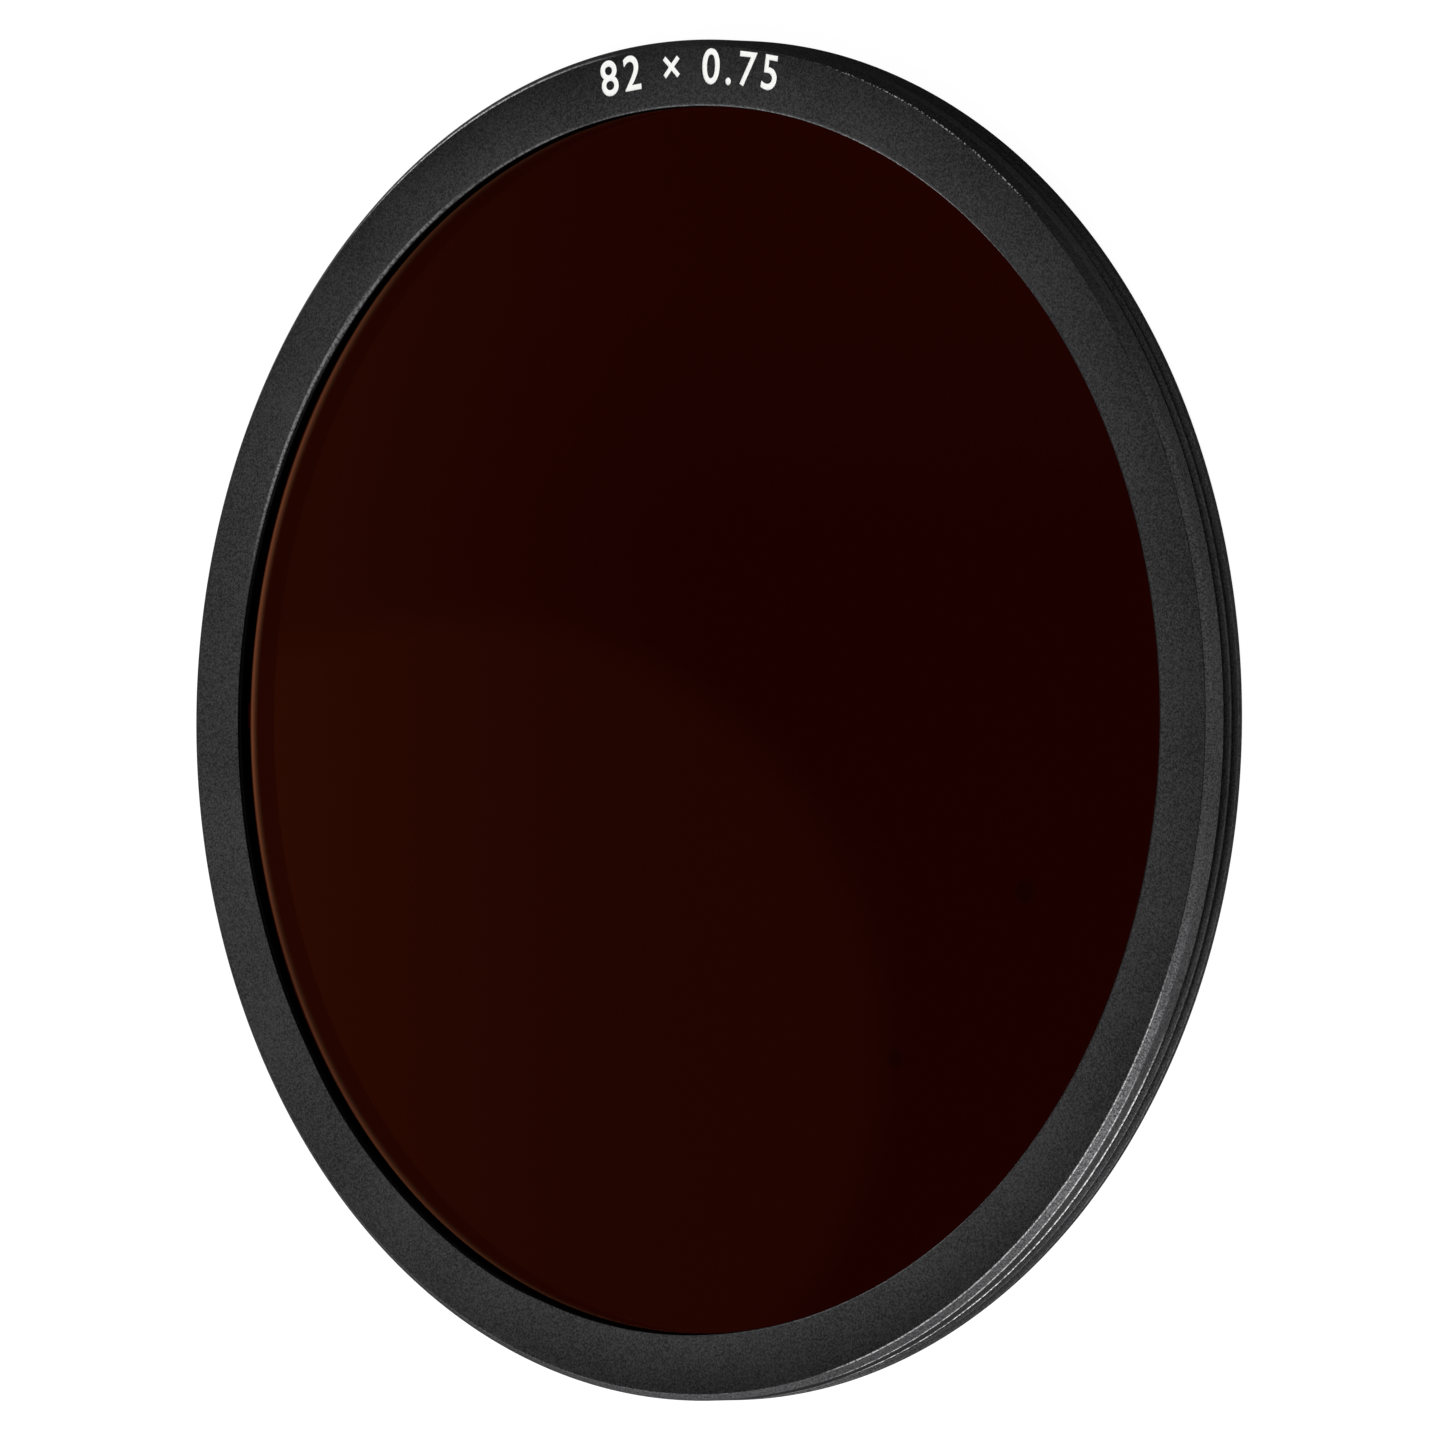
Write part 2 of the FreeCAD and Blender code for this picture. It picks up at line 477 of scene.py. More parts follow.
def turned_black_anodised(finish):
    """Aluminium, turned and dyed black in the anodising bath.

    The tool leaves fine rings round the axis, which draw the light out across them.
    """
    material, tree, shader, place = surface("turned_black_anodised_aluminium")
    # At a scale of 1 the texture's wave turns by 20 radians in a metre
    rings = node(tree, "ShaderNodeTexWave", {"Vector": place, "Scale": 0.05 / finish.tool_mark * 2 * math.pi,
                                             "Distortion": 0.4, "Detail": 2.0, "Detail Scale": 3.0},
                 wave_type="RINGS", rings_direction="Z").outputs["Fac"]
    dye = blend_colours(tree, rings, tuple(finish.anodised), tuple(finish.anodised_top))
    finished(tree, shader, dye, ramp(tree, rings, 0.0, 1.0, *TURNED_ROUGHNESS), rings, 0.2, 0.01)
    shader.inputs["Metallic"].default_value = 1.0
    shader.inputs["Specular Tint"].default_value = (*finish.anodised_grazing, 1)
    return material


# Wiped paint: size of its unevenness in millimetres, its roughness, and how much of the white its thin places keep
WIPE_MARK = 0.3
PAINT_ROUGHNESS = (0.45, 0.65)
THIN_PAINT = 0.9


def engraving_paint(finish):
    """White enamel wiped into the engraving: matt, with a slightly uneven surface."""
    material, tree, shader, place = surface("white_engraving_paint")
    wipe = noise(tree, place, 1 / (WIPE_MARK * MM), 2.0)
    white = blend_colours(tree, wipe, tuple(finish.paint), tuple(THIN_PAINT * c for c in finish.paint))
    finished(tree, shader, white, ramp(tree, wipe, 0.0, 1.0, *PAINT_ROUGHNESS), wipe, 0.3, 0.02)
    return material


# Two darker spots in the glass's layer: place and radius in millimetres. What they leave of the light in their middle,
# and how large that middle is
DARK_SPOTS = ((15.2, -20.1, 0.75), (25.3, -10.0, 0.95))
DARK_SPOT_CLEAR = 0.45
DARK_SPOT_MIDDLE = 0.6

# Haze in the layer: how many patches a millimetre, what they leave of the light, and the roughness they bring
HAZE_SCALE = 0.06
HAZE_CLEAR = (0.92, 1.0)
HAZE_ROUGHNESS = (0.0, 0.03)

# Margin of the dark layer, from the lip outwards in millimetres: where it starts to thin, is thinnest and ends, and
# how steeply it thins
MARGIN_STARTS, MARGIN_PEAK, MARGIN_ENDS = -0.04, 0.48, 0.6
MARGIN_POWER = 3.2

# How the margin's line of light fades both ways along Y: between two places in metres, and what stays at both
MARGIN_FADES = ((-0.002, -0.014, 1.0, 0.3), (0.008, 0.028, 1.0, 0.12))
GLASS_IOR = 1.52


def coated_dark_glass(finish):
    """Polished optical glass with a dark metal layer on its rear face and an antireflection coating in front.

    The layer thins out at its margin, under the lip, where a narrow line of warm light comes through. What the
    coating still reflects is a dim red-brown. Two faint round spots darken the layer.
    """
    material, tree, shader, place = surface("coated_neutral_density_glass")
    radius, height = turned_place(tree, place)
    # The shader tints light by the square root of each surface's colour, and only the rear surface has the layer
    layer_tint, margin_tint = (tuple(share ** 2 for share in kept) for kept in (finish.layer, finish.margin))
    haze = noise(tree, place, HAZE_SCALE / MM, 2.0)
    clear = ramp(tree, haze, 0.0, 1.0, *HAZE_CLEAR)
    for x, y, size in DARK_SPOTS:
        away = distance(tree, place, (x * MM, y * MM, GLASS_REAR))
        clear = calc(tree, "MULTIPLY", clear, ramp(tree, away, DARK_SPOT_MIDDLE * size * MM, size * MM, DARK_SPOT_CLEAR))
    layer = node(tree, "ShaderNodeVectorMath", {0: layer_tint, "Scale": clear}, operation="SCALE")
    starts, peak, ends = (LIP_RADIUS + away * MM for away in (MARGIN_STARTS, MARGIN_PEAK, MARGIN_ENDS))
    inner = calc(tree, "POWER", ramp(tree, radius, starts, peak), MARGIN_POWER)
    margin = calc(tree, "MULTIPLY", inner, ramp(tree, radius, ends, peak))
    sideways = along(tree, place, 90)
    for fade in MARGIN_FADES:
        margin = calc(tree, "MULTIPLY", margin, ramp(tree, sideways, *fade))
    rear = blend_colours(tree, margin, layer, margin_tint)
    in_front = calc(tree, "GREATER_THAN", height, (GLASS_REAR + GLASS_FRONT) / 2)
    tint = blend_colours(tree, in_front, rear, (1, 1, 1))
    tree.links.new(tint, shader.inputs["Base Color"])
    tree.links.new(ramp(tree, haze, 0.0, 1.0, *HAZE_ROUGHNESS).outputs[0], shader.inputs["Roughness"])
    shader.inputs["Transmission Weight"].default_value = 1.0
    shader.inputs["IOR"].default_value = GLASS_IOR
    shader.inputs["Specular Tint"].default_value = (*finish.sheen, 1)
    return material


def rounded(corners, steps=4, hold=0.03 * MM):
    """Outline through (radius, height, rounding) corners, with each rounded corner as a curve between two held points.

    The held points lie on the straight stretches just outside the curve and keep those stretches flat in the light.
    """
    outline = []
    for place, (radius, height, rounding) in enumerate(corners):
        corner = Vector((radius, height))
        if not rounding:
            outline.append(corner)
            continue
        before = (Vector(corners[place - 1][:2]) - corner).normalized()
        after = (Vector(corners[(place + 1) % len(corners)][:2]) - corner).normalized()
        reach_back = rounding * math.tan((math.pi - before.angle(after)) / 2)
        start = corner + before * reach_back
        end = corner + after * reach_back
        outline.append(start + before * hold)
        for step in range(steps + 1):
            t = step / steps
            outline.append(start * (1 - t) ** 2 + corner * 2 * t * (1 - t) + end * t ** 2)
        outline.append(end + after * hold)
    return outline


def groove_height(sizes):
    """Height of the middle of the first groove on the +X side."""
    return FRONT_FACE - sizes.land_width - (sizes.pitch - sizes.crest_width) / 2


# Rows of points on one side of a groove: round its crest, on its flank and round its root, as shares of the rounding
# and of the flank. Enough grooves to pass the rear edge, where the rest is folded away
CREST_ROWS = (1.0, 0.5, 0.0, -0.5, -1.0)
FLANK_ROWS = (0.6, 0.3)
ROOT_ROWS = (0.8, 0.0, -0.8)
GROOVES = 5


def ring_section(sizes):
    """Half section of the ring as a closed line of points, each with how far it climbs in one turn.

    Points of the thread climb by the pitch. Those on the land above the last groove climb up to the bevel instead,
    where they meet, so that the turn closes.
    """
    bore = RETAINER_RADIUS + sizes.bore_clearance
    seat = GLASS_RADIUS + sizes.seat_clearance
    bore_end = GLASS_REAR + sizes.bore_reach
    turned = rounded([
        (THREAD_RADIUS, REAR_EDGE, 0.0),
        (bore, REAR_EDGE, sizes.cut_edge),
        (bore, bore_end, 0.0),
        (seat, bore_end, sizes.cut_edge),
        (seat, GLASS_FRONT, 0.0),
        (LIP_RADIUS, GLASS_FRONT, sizes.cut_edge),
        (LIP_RADIUS, FRONT_FACE, sizes.lip_edge),
        (THREAD_RADIUS - sizes.front_bevel, FRONT_FACE, sizes.bevel_edge),
        (THREAD_RADIUS, FRONT_FACE - sizes.front_bevel, sizes.bevel_edge),
    ])[1:]
    land_top = turned[-1].y
    section = [(point.x, point.y, 0.0) for point in turned]
    half_open = (sizes.pitch - sizes.crest_width) / 2
    half_root = half_open - sizes.thread_depth * math.tan(sizes.flank_angle)
    curve = sizes.thread_rounding * math.tan(sizes.flank_angle)
    upper = [half_open + curve * share for share in CREST_ROWS]
    upper += [half_root + (half_open - half_root) * share for share in FLANK_ROWS]
    upper += [half_root + curve * share for share in ROOT_ROWS]
    rows = upper + [-row for row in reversed(upper)]
    top_groove = groove_height(sizes) + sizes.pitch / 2
    for groove in range(GROOVES):
        for row in rows:
            height = top_groove - groove * sizes.pitch + row
            climb = sizes.pitch if groove else land_top - height
            section.append((THREAD_RADIUS, height, climb))
    return section


def section_mesh(section):
    """Closed line of edges through the section's points, with the climb of each as an attribute."""
    mesh = bpy.data.meshes.new("ring_section")
    count = len(section)
    points = [(radius, 0.0, height) for radius, height, _ in section]
    mesh.from_pydata(points, [(i, (i + 1) % count) for i in range(count)], [])
    climbs = mesh.attributes.new("climb", "FLOAT", "POINT")
    climbs.data.foreach_set("value", [climb for _, _, climb in section])
    return mesh


def stored(tree, geometry, name, value):
    """Adds a node that stores a value on each point under a name."""
    return node(tree, "GeometryNodeStoreNamedAttribute", {"Geometry": geometry, "Name": name, "Value": value},
                data_type="FLOAT", domain="POINT")


def given_out(tree, geometry, material, made):
    """Ends a geometry tree: real instances, with their material."""
    geometry = node(tree, "GeometryNodeRealizeInstances", {"Geometry": geometry})
    geometry = node(tree, "GeometryNodeSetMaterial", {"Geometry": geometry, "Material": material})
    tree.links.new(geometry.outputs[0], made.inputs[0])


def threaded_ring_tree():
    """Geometry tree that turns a section about the axis and cuts a thread with a run-out into its outside."""
    tree, given, made = geometry_tree("Threaded ring", (
        "Pitch", "Thread depth", "Half opening", "Flank slope", "Rounding", "Groove height", "Thread start",
        "Thread full", "Run-out", "Lead-in radius"), Segments="Int")
    size = given.outputs
    # The section is carried along a straight line first, which only gives the mesh its faces
    section = node(tree, "GeometryNodeMeshToCurve", {"Mesh": size["Geometry"]})
    flat = split(tree, node(tree, "GeometryNodeInputPosition"))
    section = stored(tree, section, "axis_distance", flat["X"])
    section = stored(tree, section, "section_height", flat["Z"])
    line = node(tree, "GeometryNodeResampleCurve", {"Curve": node(tree, "GeometryNodeCurvePrimitiveLine"),
                                                    "Count": calc(tree, "ADD", size["Segments"], 1.0)}, mode="COUNT")
    line = stored(tree, line, "turn", node(tree, "GeometryNodeSplineParameter"))
    wall = node(tree, "GeometryNodeCurveToMesh", {"Curve": line, "Profile Curve": section})
    # Each point's share of the turn, from the -X side round by +X, and its height on the climbing thread
    names = ("axis_distance", "section_height", "climb", "turn")
    radius, rest, climb, turn = (
        node(tree, "GeometryNodeInputNamedAttribute", {"Name": name}, data_type="FLOAT") for name in names)
    height = calc(tree, "MAXIMUM", calc(tree, "MULTIPLY_ADD", climb, turn, rest), REAR_EDGE)
    side = calc(tree, "SUBTRACT", turn, 0.5)
    # Distance from the nearest groove's middle, and which groove that is
    fall = calc(tree, "SUBTRACT", size["Groove height"], height)
    turns_down = calc(tree, "ADD", calc(tree, "DIVIDE", fall, size["Pitch"]), side)
    groove = calc(tree, "ROUND", turns_down)
    off = calc(tree, "MULTIPLY", calc(tree, "SUBTRACT", turns_down, groove), size["Pitch"])
    middle = calc(tree, "ADD", height, off)
    # Depth of the trapezoidal groove with rounded corners, fading in at its start and out over the run-out
    flank = calc(tree, "SUBTRACT", size["Half opening"], calc(tree, "ABSOLUTE", off))
    flank = calc(tree, "MULTIPLY", flank, size["Flank slope"])
    depth = calc(tree, "SMOOTH_MIN", flank, size["Thread depth"], size["Rounding"])
    depth = calc(tree, "SMOOTH_MAX", depth, 0.0, size["Rounding"])
    travelled = calc(tree, "SUBTRACT", groove, side)
    fades = (
        ramp(tree, travelled, -0.5, calc(tree, "SUBTRACT", size["Run-out"], 0.5), smooth=True),
        ramp(tree, middle, size["Thread start"], size["Thread full"], smooth=True),
        calc(tree, "GREATER_THAN", climb, 0.0),
    )
    for fade in fades:
        depth = calc(tree, "MULTIPLY", depth, fade)
    lead_in = calc(tree, "ADD", size["Lead-in radius"], height)
    cut = calc(tree, "MINIMUM", calc(tree, "SUBTRACT", radius, depth), lead_in)
    # The straight wall is bent round the axis and its two ends are joined
    place = round_axis(tree, cut, calc(tree, "MULTIPLY", side, 2 * math.pi), height)
    wall = node(tree, "GeometryNodeSetPosition", {"Geometry": wall, "Position": place})
    wall = node(tree, "GeometryNodeMergeByDistance", {"Geometry": wall, "Distance": SEAM})
    for name in names:
        wall = node(tree, "GeometryNodeRemoveAttribute", {"Geometry": wall, "Name": name})
    given_out(tree, wall, size["Material"], made)
    return tree


def numbers_tree():
    """Geometry tree that lays a line of digits along an arc and gives it a floor and a top."""
    tree, given, made = geometry_tree("Engraved numbers", (
        "Font size", "Spacing", "Bold", "Arc radius", "Arc middle", "Speck", "Floor", "Top"), Numbers="String")
    size = given.outputs
    digits = node(tree, "GeometryNodeStringToCurves", {"String": size["Numbers"], "Size": size["Font size"],
                                                       "Character Spacing": size["Spacing"]},
                  align_x="CENTER", align_y="MIDDLE")
    digits = node(tree, "GeometryNodeRealizeInstances", {"Geometry": digits})
    # Each outline moves out from the ink, which makes the strokes bold
    digits = node(tree, "GeometryNodeResampleCurve", {"Curve": digits}, mode="EVALUATED")
    digits = node(tree, "GeometryNodeSetCurveNormal", {"Curve": digits}, mode="Z_UP")
    outwards = node(tree, "ShaderNodeVectorMath", {0: node(tree, "GeometryNodeInputNormal"), "Scale": size["Bold"]},
                    operation="SCALE")
    digits = node(tree, "GeometryNodeSetPosition", {"Geometry": digits, "Offset": outwards})
    flat = node(tree, "GeometryNodeFillCurve", {"Curve": digits}, mode="TRIANGLES")
    # A widened outline crosses itself at a sharp inner corner, and the speck behind the crossing is closed
    flat = node(tree, "GeometryNodeMergeByDistance", {"Geometry": flat, "Distance": size["Speck"]})
    # The line is bent round the axis at the engraving's floor and raised from there
    spot = split(tree, node(tree, "GeometryNodeInputPosition"))
    radius = calc(tree, "ADD", size["Arc radius"], spot["Y"])
    swing = calc(tree, "SUBTRACT", size["Arc middle"], calc(tree, "DIVIDE", spot["X"], size["Arc radius"]))
    place = round_axis(tree, radius, swing, size["Floor"])
    flat = node(tree, "GeometryNodeSetPosition", {"Geometry": flat, "Position": place})
    rise = node(tree, "ShaderNodeCombineXYZ", {"Z": calc(tree, "SUBTRACT", size["Top"], size["Floor"])})
    raised = node(tree, "GeometryNodeExtrudeMesh", {"Mesh": flat, "Offset": rise, "Individual": False}, mode="FACES")
    floor = node(tree, "GeometryNodeFlipFaces", {"Mesh": flat})
    both = node(tree, "GeometryNodeJoinGeometry", {"Geometry": raised})
    tree.links.new(floor.outputs[0], both.inputs[0])
    closed = node(tree, "GeometryNodeMergeByDistance", {"Geometry": both, "Distance": SEAM})
    given_out(tree, closed, size["Material"], made)
    return tree


# Height of the built-in font's digits, as a share of the font size
DIGIT_SHARE = 0.69


def number_line(tree, numbers, top, material):
    """Mesh of the engraved numbers from the engraving's floor to the given top."""
    return made_by(tree, {
        "Numbers": numbers.text,
        "Font size": numbers.height / DIGIT_SHARE,
        "Spacing": numbers.spacing,
        "Bold": numbers.bold,
        "Arc radius": numbers.middle_radius,
        "Arc middle": numbers.middle_angle,
        "Speck": numbers.speck,
        "Floor": FRONT_FACE - numbers.depth,
        "Top": top,
        "Material": material,
    })


class FILTER_OT_ring(Operator):
    """Turns the ring with its outside thread and engraves its front face"""

    bl_idname = "filter.ring"
    bl_label = "Threaded ring"

    def execute(self, context):
        sizes = context.scene.filter_ring
        numbers = context.scene.filter_numbers
        metal = blasted_black_anodised(context.scene.filter_finish, sizes)
        mesh = made_by(threaded_ring_tree(), {
            "Pitch": sizes.pitch,
            "Thread depth": sizes.thread_depth,
            "Half opening": (sizes.pitch - sizes.crest_width) / 2,
            "Flank slope": 1 / math.tan(sizes.flank_angle),
            "Rounding": sizes.thread_rounding,
            "Groove height": groove_height(sizes),
            "Thread start": sizes.thread_start,
            "Thread full": sizes.thread_full,
            "Run-out": sizes.run_out,
            "Lead-in radius": THREAD_RADIUS - sizes.rear_lead_in - REAR_EDGE,
            "Segments": sizes.segments,
            "Material": metal,
        }, section_mesh(ring_section(sizes)))
        turn_outwards(mesh)
        carrier = linked_object("ring_before_engraving", mesh)
        digits = number_line(numbers_tree(), numbers, FRONT_FACE + numbers.depth, metal)
        cutter = linked_object("engraving_tool", digits)
        engraving = carrier.modifiers.new("Engraving", "BOOLEAN")
        engraving.operation = "DIFFERENCE"
        engraving.solver = "EXACT"
        engraving.object = cutter
        ring = linked_object("threaded_ring", evaluated_mesh(carrier))
        bpy.data.objects.remove(cutter)
        ring.data.set_sharp_from_angle(angle=SHARP_ANGLE)
        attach(ring, BODY)
        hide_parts("filter_ring")
        return {"FINISHED"}


class FILTER_OT_numbers(Operator):
    """Fills the engraved numbers with paint"""

    bl_idname = "filter.numbers"
    bl_label = "Painted numbers"

    def execute(self, context):
        numbers = context.scene.filter_numbers
        paint = engraving_paint(context.scene.filter_finish)
        mesh = number_line(bpy.data.node_groups["Engraved numbers"], numbers, FRONT_FACE - numbers.fill_drop, paint)
        fill = linked_object("size_numbers", mesh)
        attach(fill, BODY)
        return {"FINISHED"}


def dress(node_name, material):
    """Gives a node of the frame its only material."""
    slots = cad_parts[node_name].data.materials
    slots.clear()
    slots.append(material)


class FILTER_OT_glass(Operator):
    """Gives the glass disc its dark layer and its coating"""

    bl_idname = "filter.glass"
    bl_label = "Dark glass"

    def execute(self, context):
        dress("filter_glass", coated_dark_glass(context.scene.filter_finish))
        return {"FINISHED"}


class FILTER_OT_retainer(Operator):
    """Gives the retaining ring its turned finish"""

    bl_idname = "filter.retainer"
    bl_label = "Retaining ring"

    def execute(self, context):
        dress("retaining_ring", turned_black_anodised(context.scene.filter_finish))
        return {"FINISHED"}


# White paper: size in metres, its glow where it is seen, and its tones where it is seen and where it only lights
FLOOR_SIZE = (4.0, 4.0)
PAPER_GLOW = 0.94
PAPER_SEEN = (0.14, 0.14, 0.14, 1)
PAPER_LIT = (0.8, 0.8, 0.8, 1)

# Pool of light that metal mirrors in the paper: between which two places, in metres, it rises along +X and falls off
# along +Y, and a second one rises along -X, with the brightness at both
POOL = (0.008, 0.034)
POOL_FALLS = (-0.025, 0.03, 1.0, 0.25)
FAR_POOL = (-0.005, -0.025, 0.0, 0.6)


def white_floor():
    """Floor material: white to the camera, through glass and in metal, where it keeps most of the object's shadow."""
    material = bpy.data.materials.new("white_paper_floor")
    tree = emptied(material)
    path = node(tree, "ShaderNodeLightPath").outputs
    seen = calc(tree, "MAXIMUM", path["Is Camera Ray"], path["Is Glossy Ray"])
    seen = calc(tree, "MAXIMUM", seen, path["Is Transmission Ray"])
    # What metal mirrors is the paper's pool of light. Through glass a ray is glossy too
    mirrored = calc(tree, "SUBTRACT", path["Is Glossy Ray"], path["Is Transmission Ray"], use_clamp=True)
    spot = split(tree, node(tree, "ShaderNodeTexCoord").outputs["Object"])
    pool = calc(tree, "MULTIPLY", ramp(tree, spot["X"], *POOL), ramp(tree, spot["Y"], *POOL_FALLS))
    pool = calc(tree, "MAXIMUM", pool, ramp(tree, spot["X"], *FAR_POOL))
    glow = node(tree, "ShaderNodeEmission", {"Strength": blend(tree, mirrored, PAPER_GLOW, pool)})
    paper, plain = (node(tree, "ShaderNodeBsdfDiffuse", {"Color": tone}) for tone in (PAPER_SEEN, PAPER_LIT))
    glowing = node(tree, "ShaderNodeAddShader", {0: paper, 1: glow})
    choice = node(tree, "ShaderNodeMixShader", {0: seen, 1: plain, 2: glowing})
    node(tree, "ShaderNodeOutputMaterial", {"Surface": choice})
    return material


# Card that the glass mirrors: distance, size and the lamp's spot on it in metres, from its middle
CARD_DISTANCE = 1.0
CARD_SIZE = (0.15, 0.19)
CARD_COLOUR = "#ffe781"
CARD_SPOT = (-0.0277, -0.0346, 0.0)
CARD_SPOT_RADIUS = 0.045
CARD_SPOT_BLUR = 0.002

# Brightness of the spot and of the strip, where the strip begins and is full across the card and how steeply it
# rises, and where and how the card's own glow rises up the card
SPOT_GLOW = 0.045
STRIP_GLOW = 0.088
STRIP = (0.0033, -0.0446)
STRIP_POWER = 2.0
CARD_GLOW = (0.02, 0.045, 0.01, 0.03)


def card_material():
    """Glow of a dim warm card, with a bright strip along one side and the round spot of a lamp."""
    material = bpy.data.materials.new("lit_card")
    tree = emptied(material)
    place = node(tree, "ShaderNodeTexCoord").outputs["Object"]
    spot = split(tree, place)
    strip = calc(tree, "POWER", ramp(tree, spot["X"], *STRIP), STRIP_POWER)
    card = calc(tree, "MULTIPLY_ADD", strip, STRIP_GLOW, ramp(tree, spot["Y"], *CARD_GLOW))
    lamp = ramp(tree, distance(tree, place, CARD_SPOT), CARD_SPOT_RADIUS + CARD_SPOT_BLUR,
                CARD_SPOT_RADIUS - CARD_SPOT_BLUR, 0.0, SPOT_GLOW)
    emission = node(tree, "ShaderNodeEmission", {"Color": (*linear(CARD_COLOUR), 1),
                                                 "Strength": calc(tree, "ADD", card, lamp)})
    node(tree, "ShaderNodeOutputMaterial", {"Surface": emission})
    return material


def facing(place, target):
    """World matrix of something at a place whose -Z looks at a target."""
    turn = (target - place).to_track_quat("-Z", "Y")
    return Matrix.Translation(place) @ turn.to_matrix().to_4x4()


def compass(azimuth, elevation, away):
    """Point at a distance from the origin, by degrees from +X towards +Y and degrees above the floor."""
    a, e = math.radians(azimuth), math.radians(elevation)
    return Vector((math.cos(a) * math.cos(e), math.sin(a) * math.cos(e), math.sin(e))) * away


# Lamps: name, azimuth and elevation in degrees, distance, width and height in metres, brightness where 1 is white
LAMPS = (
    ("near_softbox", -82.0, 14.0, 0.6, 1.4, 0.42, 1.6),
    ("key_strip", -58.0, 33.0, 0.62, 0.4, 0.2, 6.0),
    ("overhead_softbox", -78.0, 58.0, 0.8, 0.55, 0.35, 0.9),
    ("far_softbox", 62.0, 58.0, 0.8, 0.5, 0.3, 0.4),
    ("low_left_panel", -140.0, 16.0, 0.7, 0.4, 0.36, 5.5),
    ("low_far_panel", 152.0, 10.0, 0.7, 0.2, 0.24, 8.0),
    ("right_softbox", 14.0, 41.0, 0.7, 0.95, 0.4, 1.15),
    ("left_softbox", 180.0, 48.6, 1.1, 1.0, 0.5, 1.27),
)

# Watts that a square metre of lamp takes to look white
LAMP_WATTS = 4

# How far up the room, where 1 is overhead, the ceiling begins and is full
CEILING = (0.6, 0.95)

# Width of the camera's sensor in millimetres, and how near and far it sees in metres
SENSOR_WIDTH = 36.0
SEES_FROM, SEES_TO = 0.01, 20.0
UPRIGHT = Vector((0, 1, 0))


def sheet_mesh(name, size, height, material):
    """Flat rectangle about the origin."""
    mesh = bpy.data.meshes.new(name)
    corners = [(x * size[0] / 2, y * size[1] / 2, height) for x, y in ((-1, -1), (1, -1), (1, 1), (-1, 1))]
    mesh.from_pydata(corners, [], [(0, 1, 2, 3)])
    mesh.materials.append(material)
    return mesh


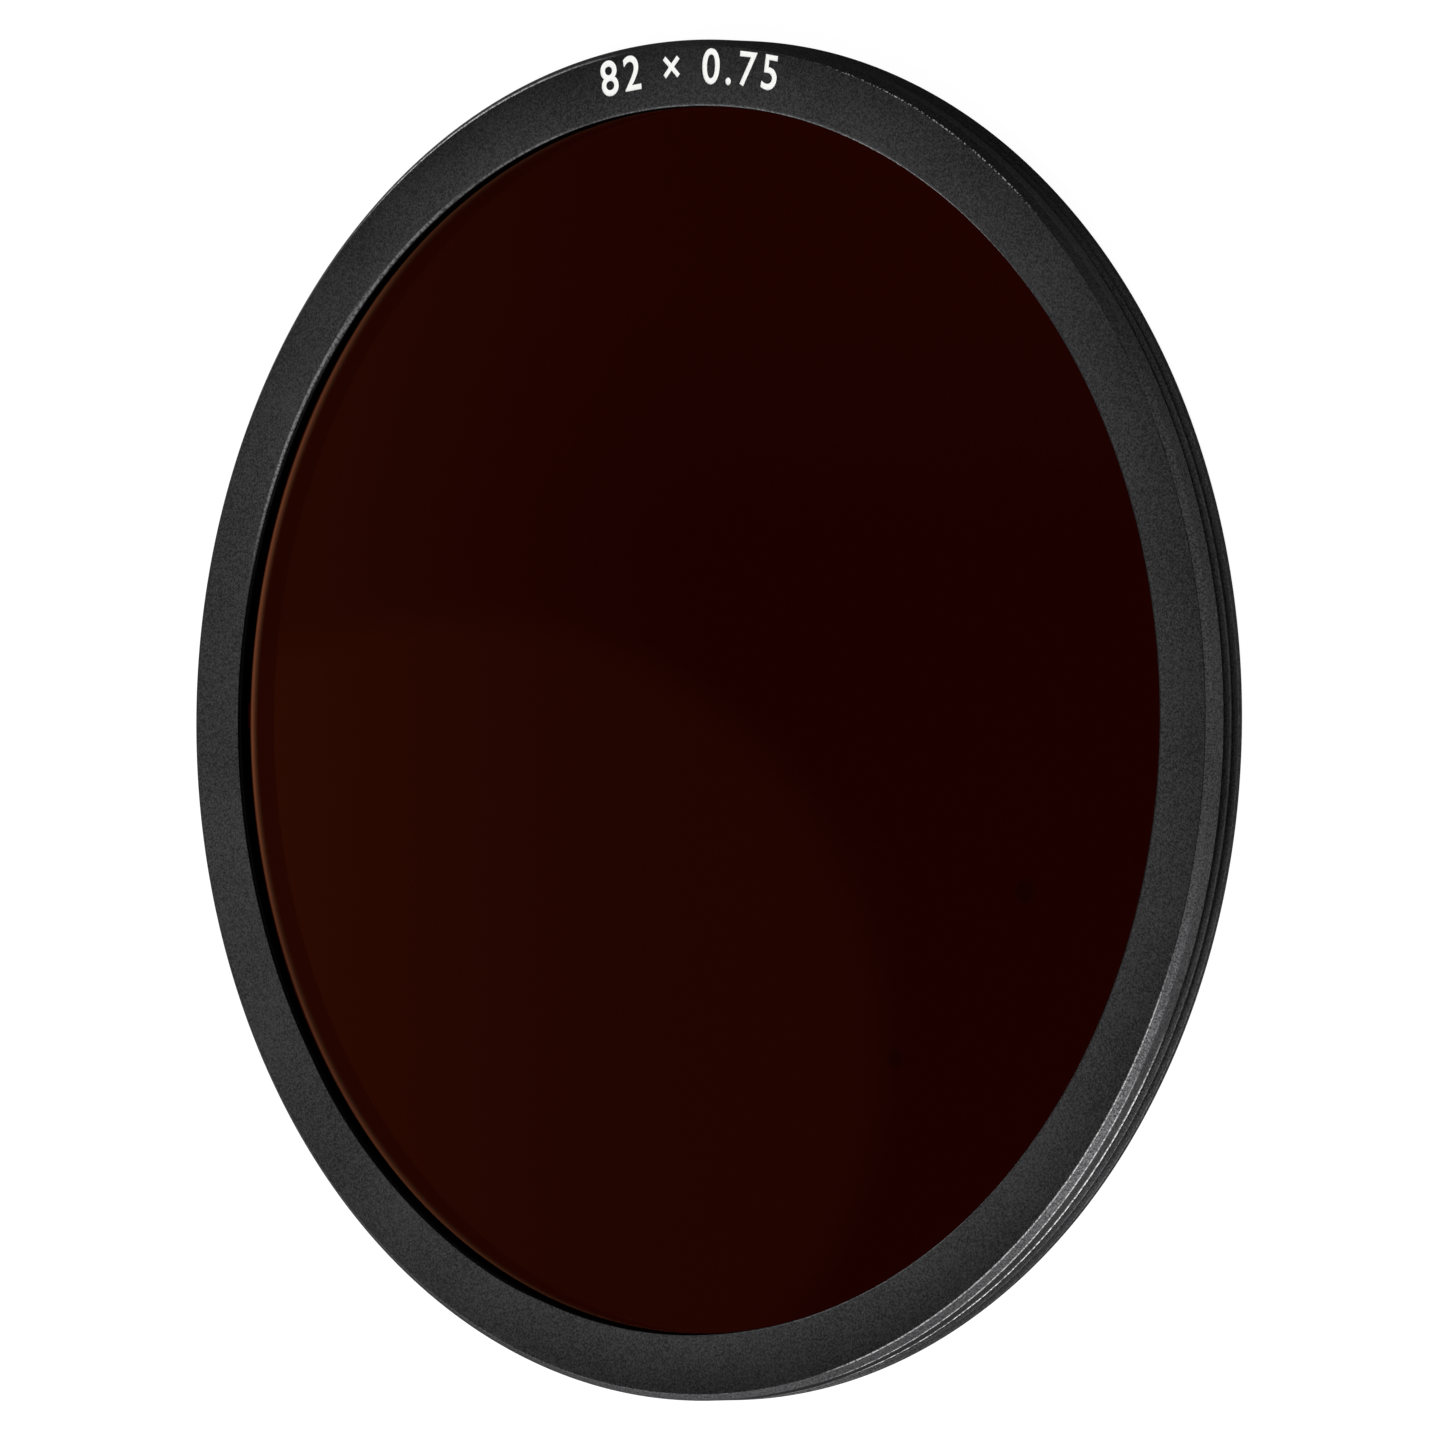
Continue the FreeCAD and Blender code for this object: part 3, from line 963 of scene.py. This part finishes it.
class FILTER_OT_stage(Operator):
    """Sets up the floor, the lamps, the card that the glass reflects, the surroundings and the camera"""

    bl_idname = "filter.stage"
    bl_label = "Studio"

    def execute(self, context):
        scene = context.scene
        studio = scene.filter_studio
        middle = Vector((0, 0, FRONT_FACE))
        linked_object("floor", sheet_mesh("floor", FLOOR_SIZE, REAR_EDGE, white_floor()))
        self.add_lamps(middle)
        self.add_card(studio, middle)
        self.light_surroundings(scene, studio)
        self.place_camera(scene, studio, middle)
        scene.view_settings.view_transform = "Standard"
        return {"FINISHED"}

    def add_lamps(self, middle):
        """Lamps round the filter, kept off the glass, so that it looks dark also where it would mirror one."""
        kept_dark = bpy.data.collections.new("kept_dark")
        kept_dark.objects.link(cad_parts["filter_glass"])
        kept_dark.collection_objects[0].light_linking.link_state = "EXCLUDE"
        for name, azimuth, elevation, away, width, height, brightness in LAMPS:
            lamp = bpy.data.lights.new(name, "AREA")
            lamp.shape = "RECTANGLE"
            lamp.size = width
            lamp.size_y = height
            lamp.energy = brightness * LAMP_WATTS * width * height
            lamp_object = linked_object(name, lamp)
            lamp_object.matrix_world = facing(compass(azimuth, elevation, away), middle)
            lamp_object.visible_camera = False
            lamp_object.light_linking.receiver_collection = kept_dark

    def add_card(self, studio, middle):
        """Card that the glass mirrors towards the camera, its X to the right and its Y up in the mirror image."""
        card = linked_object("card", sheet_mesh("card", CARD_SIZE, 0.0, card_material()))
        tilt = studio.view_tilt
        outward = Vector((-math.sin(tilt), 0, math.cos(tilt)))
        side = Vector((math.cos(tilt), 0, math.sin(tilt)))
        turn = Matrix((side, UPRIGHT, -outward)).transposed().to_4x4()
        card.matrix_world = Matrix.Translation(middle + outward * CARD_DISTANCE) @ turn
        card.visible_camera = False

    def light_surroundings(self, scene, studio):
        """Dim room with a darker ceiling, white where the camera looks past the floor."""
        scene.world = bpy.data.worlds.new("studio")
        tree = emptied(scene.world)
        path = node(tree, "ShaderNodeLightPath").outputs
        upward = split(tree, node(tree, "ShaderNodeTexCoord").outputs["Generated"])["Z"]
        room = ramp(tree, upward, *CEILING, studio.surroundings, studio.ceiling)
        level = blend(tree, path["Is Camera Ray"], room, 1.0)
        lit = node(tree, "ShaderNodeBackground", {"Color": (1, 1, 1, 1), "Strength": level})
        node(tree, "ShaderNodeOutputWorld", {"Surface": lit})

    def place_camera(self, scene, studio, middle):
        """Camera at the photograph's viewing angle, its upright along +Y."""
        tilt, roll = studio.view_tilt, studio.view_roll
        back = Vector((math.sin(tilt), 0, math.cos(tilt)))
        level = Vector((math.cos(tilt), 0, -math.sin(tilt)))
        right = level * math.cos(roll) - UPRIGHT * math.sin(roll)
        up = level * math.sin(roll) + UPRIGHT * math.cos(roll)
        lens = bpy.data.cameras.new("camera")
        lens.lens = studio.focal_length
        lens.sensor_width = SENSOR_WIDTH
        lens.clip_start = SEES_FROM
        lens.clip_end = SEES_TO
        camera = linked_object("camera", lens)
        place = middle + back * studio.distance + right * studio.side_step
        camera.matrix_world = Matrix.Translation(place) @ Matrix((right, up, back)).transposed().to_4x4()
        scene.camera = camera


PIECES = (FILTER_OT_ring, FILTER_OT_numbers, FILTER_OT_glass, FILTER_OT_retainer, FILTER_OT_stage)


def settings_name(group):
    """Name under which the scene holds a group of properties."""
    return group.__name__.replace("FILTER_PG_", "filter_")


class FILTER_PT_sidebar(Panel):
    """Lists the sizes, the finishes and the pieces"""

    bl_label = "Neutral density filter"
    bl_idname = "FILTER_PT_sidebar"
    bl_space_type = "VIEW_3D"
    bl_region_type = "UI"
    bl_category = "Filter"

    def draw(self, context):
        for group in GROUPS:
            settings = getattr(context.scene, settings_name(group))
            box = self.layout.box()
            for name in group.__annotations__:
                box.prop(settings, name)
        for piece in PIECES:
            self.layout.operator(piece.bl_idname)


CLASSES = (*GROUPS, *PIECES, FILTER_PT_sidebar)


def register():
    for cls in CLASSES:
        bpy.utils.register_class(cls)
    for group in GROUPS:
        setattr(bpy.types.Scene, settings_name(group), PointerProperty(type=group))


def unregister():
    for group in GROUPS:
        delattr(bpy.types.Scene, settings_name(group))
    for cls in reversed(CLASSES):
        bpy.utils.unregister_class(cls)


def main():
    register()
    bpy.ops.filter.ring()
    bpy.ops.filter.numbers()
    bpy.ops.filter.glass()
    bpy.ops.filter.retainer()
    bpy.ops.filter.stage()


if __name__ == "__main__":
    main()
